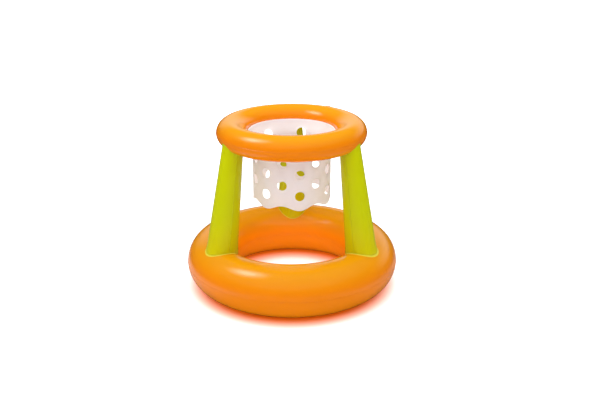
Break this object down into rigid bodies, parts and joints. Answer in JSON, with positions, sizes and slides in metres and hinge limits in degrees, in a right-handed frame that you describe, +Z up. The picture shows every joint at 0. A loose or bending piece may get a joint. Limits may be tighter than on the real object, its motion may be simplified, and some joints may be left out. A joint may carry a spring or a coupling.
{
  "type": "floating basketball hoop",
  "caption": "Inflatable basketball hoop for a pool: a wide base ring, tapered air legs, a smaller rim ring and a punched vinyl net hanging inside the legs.",
  "frame": {"origin": "on the floor, under the middle of the hoop", "axes": "+Z up along the hoop's axis, -Y towards the front window between two legs, +X to the right when seen from the front"},
  "size_m": [0.67, 0.67, 0.5329],
  "materials": {
    "ring_vinyl": "glossy orange vinyl sheet",
    "leg_vinyl": "glossy lime green vinyl sheet",
    "net_vinyl": "frosted white vinyl sheet",
    "valve_vinyl": "soft milky vinyl moulding"
  },
  "bodies": {
    "hoop": {"base_ring_upper_panel": "ring_vinyl", "base_ring_lower_panel": "ring_vinyl", "rim_upper_panel": "ring_vinyl", "rim_lower_panel": "ring_vinyl", "leg_front_right_outer_panel": "leg_vinyl", "leg_front_right_inner_panel": "leg_vinyl", "leg_rear_outer_panel": "leg_vinyl", "leg_rear_inner_panel": "leg_vinyl", "leg_front_left_outer_panel": "leg_vinyl", "leg_front_left_inner_panel": "leg_vinyl", "net": "net_vinyl", "base_valve_collar": "valve_vinyl", "rim_valve_collar": "valve_vinyl"},
    "base_valve_stem": {"base_valve_stem": "valve_vinyl", "base_valve_check_flap": "valve_vinyl"},
    "base_valve_stopper": {"base_valve_stopper": "valve_vinyl"},
    "rim_valve_stem": {"rim_valve_stem": "valve_vinyl", "rim_valve_check_flap": "valve_vinyl"},
    "rim_valve_stopper": {"rim_valve_stopper": "valve_vinyl"}
  },
  "joints": [
    {"name": "base_valve_stem_slide", "type": "slide", "parent": "hoop", "child": "base_valve_stem", "axis": [-0.4989, 0.7466, 0.4401], "range_m": [0, 0.009]},
    {"name": "base_valve_stopper_slide", "type": "slide", "parent": "base_valve_stem", "child": "base_valve_stopper", "axis": [-0.4989, 0.7466, 0.4401], "range_m": [0, 0.008]},
    {"name": "rim_valve_stem_slide", "type": "slide", "parent": "hoop", "child": "rim_valve_stem", "axis": [0.4542, 0.6797, 0.5759], "range_m": [0, 0.009]},
    {"name": "rim_valve_stopper_slide", "type": "slide", "parent": "rim_valve_stem", "child": "rim_valve_stopper", "axis": [0.4542, 0.6797, 0.5759], "range_m": [0, 0.008]}
  ]
}
